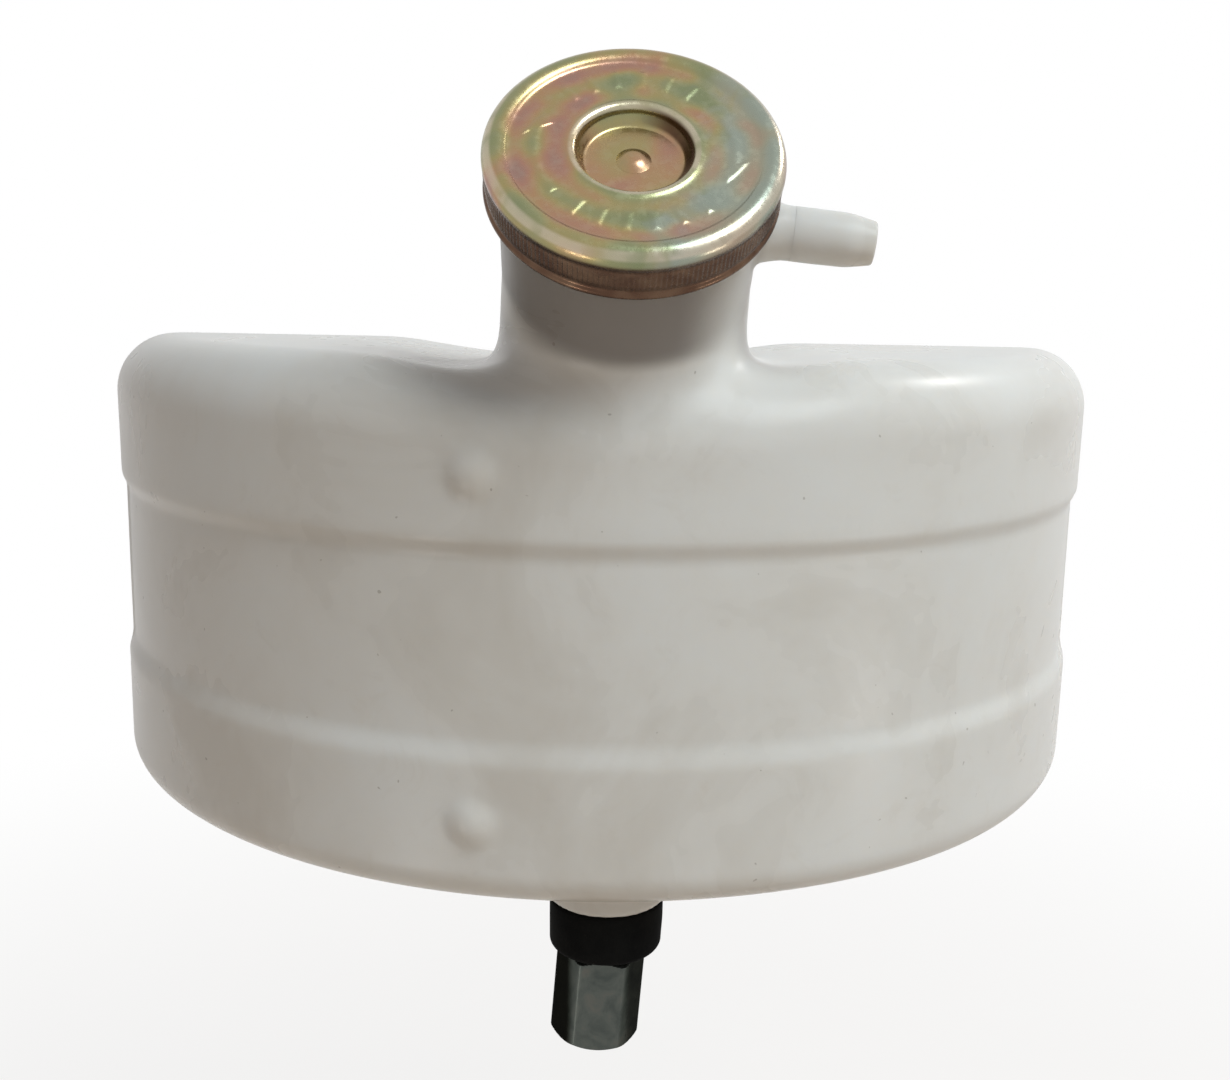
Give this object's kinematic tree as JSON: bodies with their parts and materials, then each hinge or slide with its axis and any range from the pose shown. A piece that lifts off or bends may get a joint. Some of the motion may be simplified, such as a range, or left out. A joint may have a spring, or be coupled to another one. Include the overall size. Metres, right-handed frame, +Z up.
{
  "type": "coolant expansion tank",
  "caption": "Half-moon blow-moulded coolant expansion tank with a forward-leaning filler neck, screw-on metal pressure cap, overflow nipple and bottom outlet fitting.",
  "frame": {"origin": "centre of the tank's flat back face, on the face", "axes": "+X to the right seen from the convex front, +Y out of the flat back, +Z up"},
  "size_m": [0.3, 0.1588, 0.2548],
  "materials": {
    "natural_plastic": "natural blow-moulded, slightly translucent, satin",
    "black_rubber": "matt moulded rubber",
    "plated_steel": "dull grey-green zinc plate",
    "yellow_zinc": "pressed steel, yellow-passivated zinc with an iridescent sheen",
    "cream_plastic": "moulded",
    "spring_steel": "drawn wire and strip",
    "brass": "turned"
  },
  "bodies": {
    "tank": {"tank_body": "natural_plastic", "outlet_grommet": "black_rubber", "outlet_adaptor": "plated_steel"},
    "rim_seal": {"rim_seal": "black_rubber"},
    "valve_housing": {"spring_housing": "yellow_zinc", "spring_diaphragm": "spring_steel", "pressure_spring": "spring_steel"},
    "cap": {"cap_shell": "yellow_zinc", "thread_ring": "cream_plastic", "cap_rivet": "yellow_zinc"},
    "pressure_valve": {"pressure_plate": "yellow_zinc", "pressure_seal": "black_rubber", "vacuum_spring": "spring_steel"},
    "vacuum_valve": {"vacuum_valve": "brass", "vacuum_spring_cap": "brass"}
  },
  "joints": [
    {"name": "cap_lift_off", "type": "slide", "parent": "tank", "child": "rim_seal", "axis": [0, -0.7314, 0.682], "range_m": [0, 0.045]},
    {"name": "cap_rise", "type": "slide", "parent": "rim_seal", "child": "valve_housing", "axis": [0, -0.7314, 0.682], "range_m": [0, 0.004]},
    {"name": "cap_turn", "type": "hinge", "parent": "valve_housing", "child": "cap", "pos_m": [0.002, -0.12888, 0.10892], "axis": [0, -0.7314, 0.682], "range_deg": [0, 450]},
    {"name": "pressure_lift", "type": "slide", "parent": "valve_housing", "child": "pressure_valve", "axis": [0, -0.7314, 0.682], "range_m": [0, 0.003], "stiffness_N_per_m": 300, "deforming": ["pressure_spring"]},
    {"name": "vacuum_open", "type": "slide", "parent": "pressure_valve", "child": "vacuum_valve", "axis": [0, 0.7314, -0.682], "range_m": [0, 0.0018], "stiffness_N_per_m": 600, "springref_m": -0.0002, "deforming": ["vacuum_spring"]}
  ],
  "couplings": [
    {"joint": "cap_rise", "follows": "cap_turn", "m_per_rad": 0.000509}
  ]
}
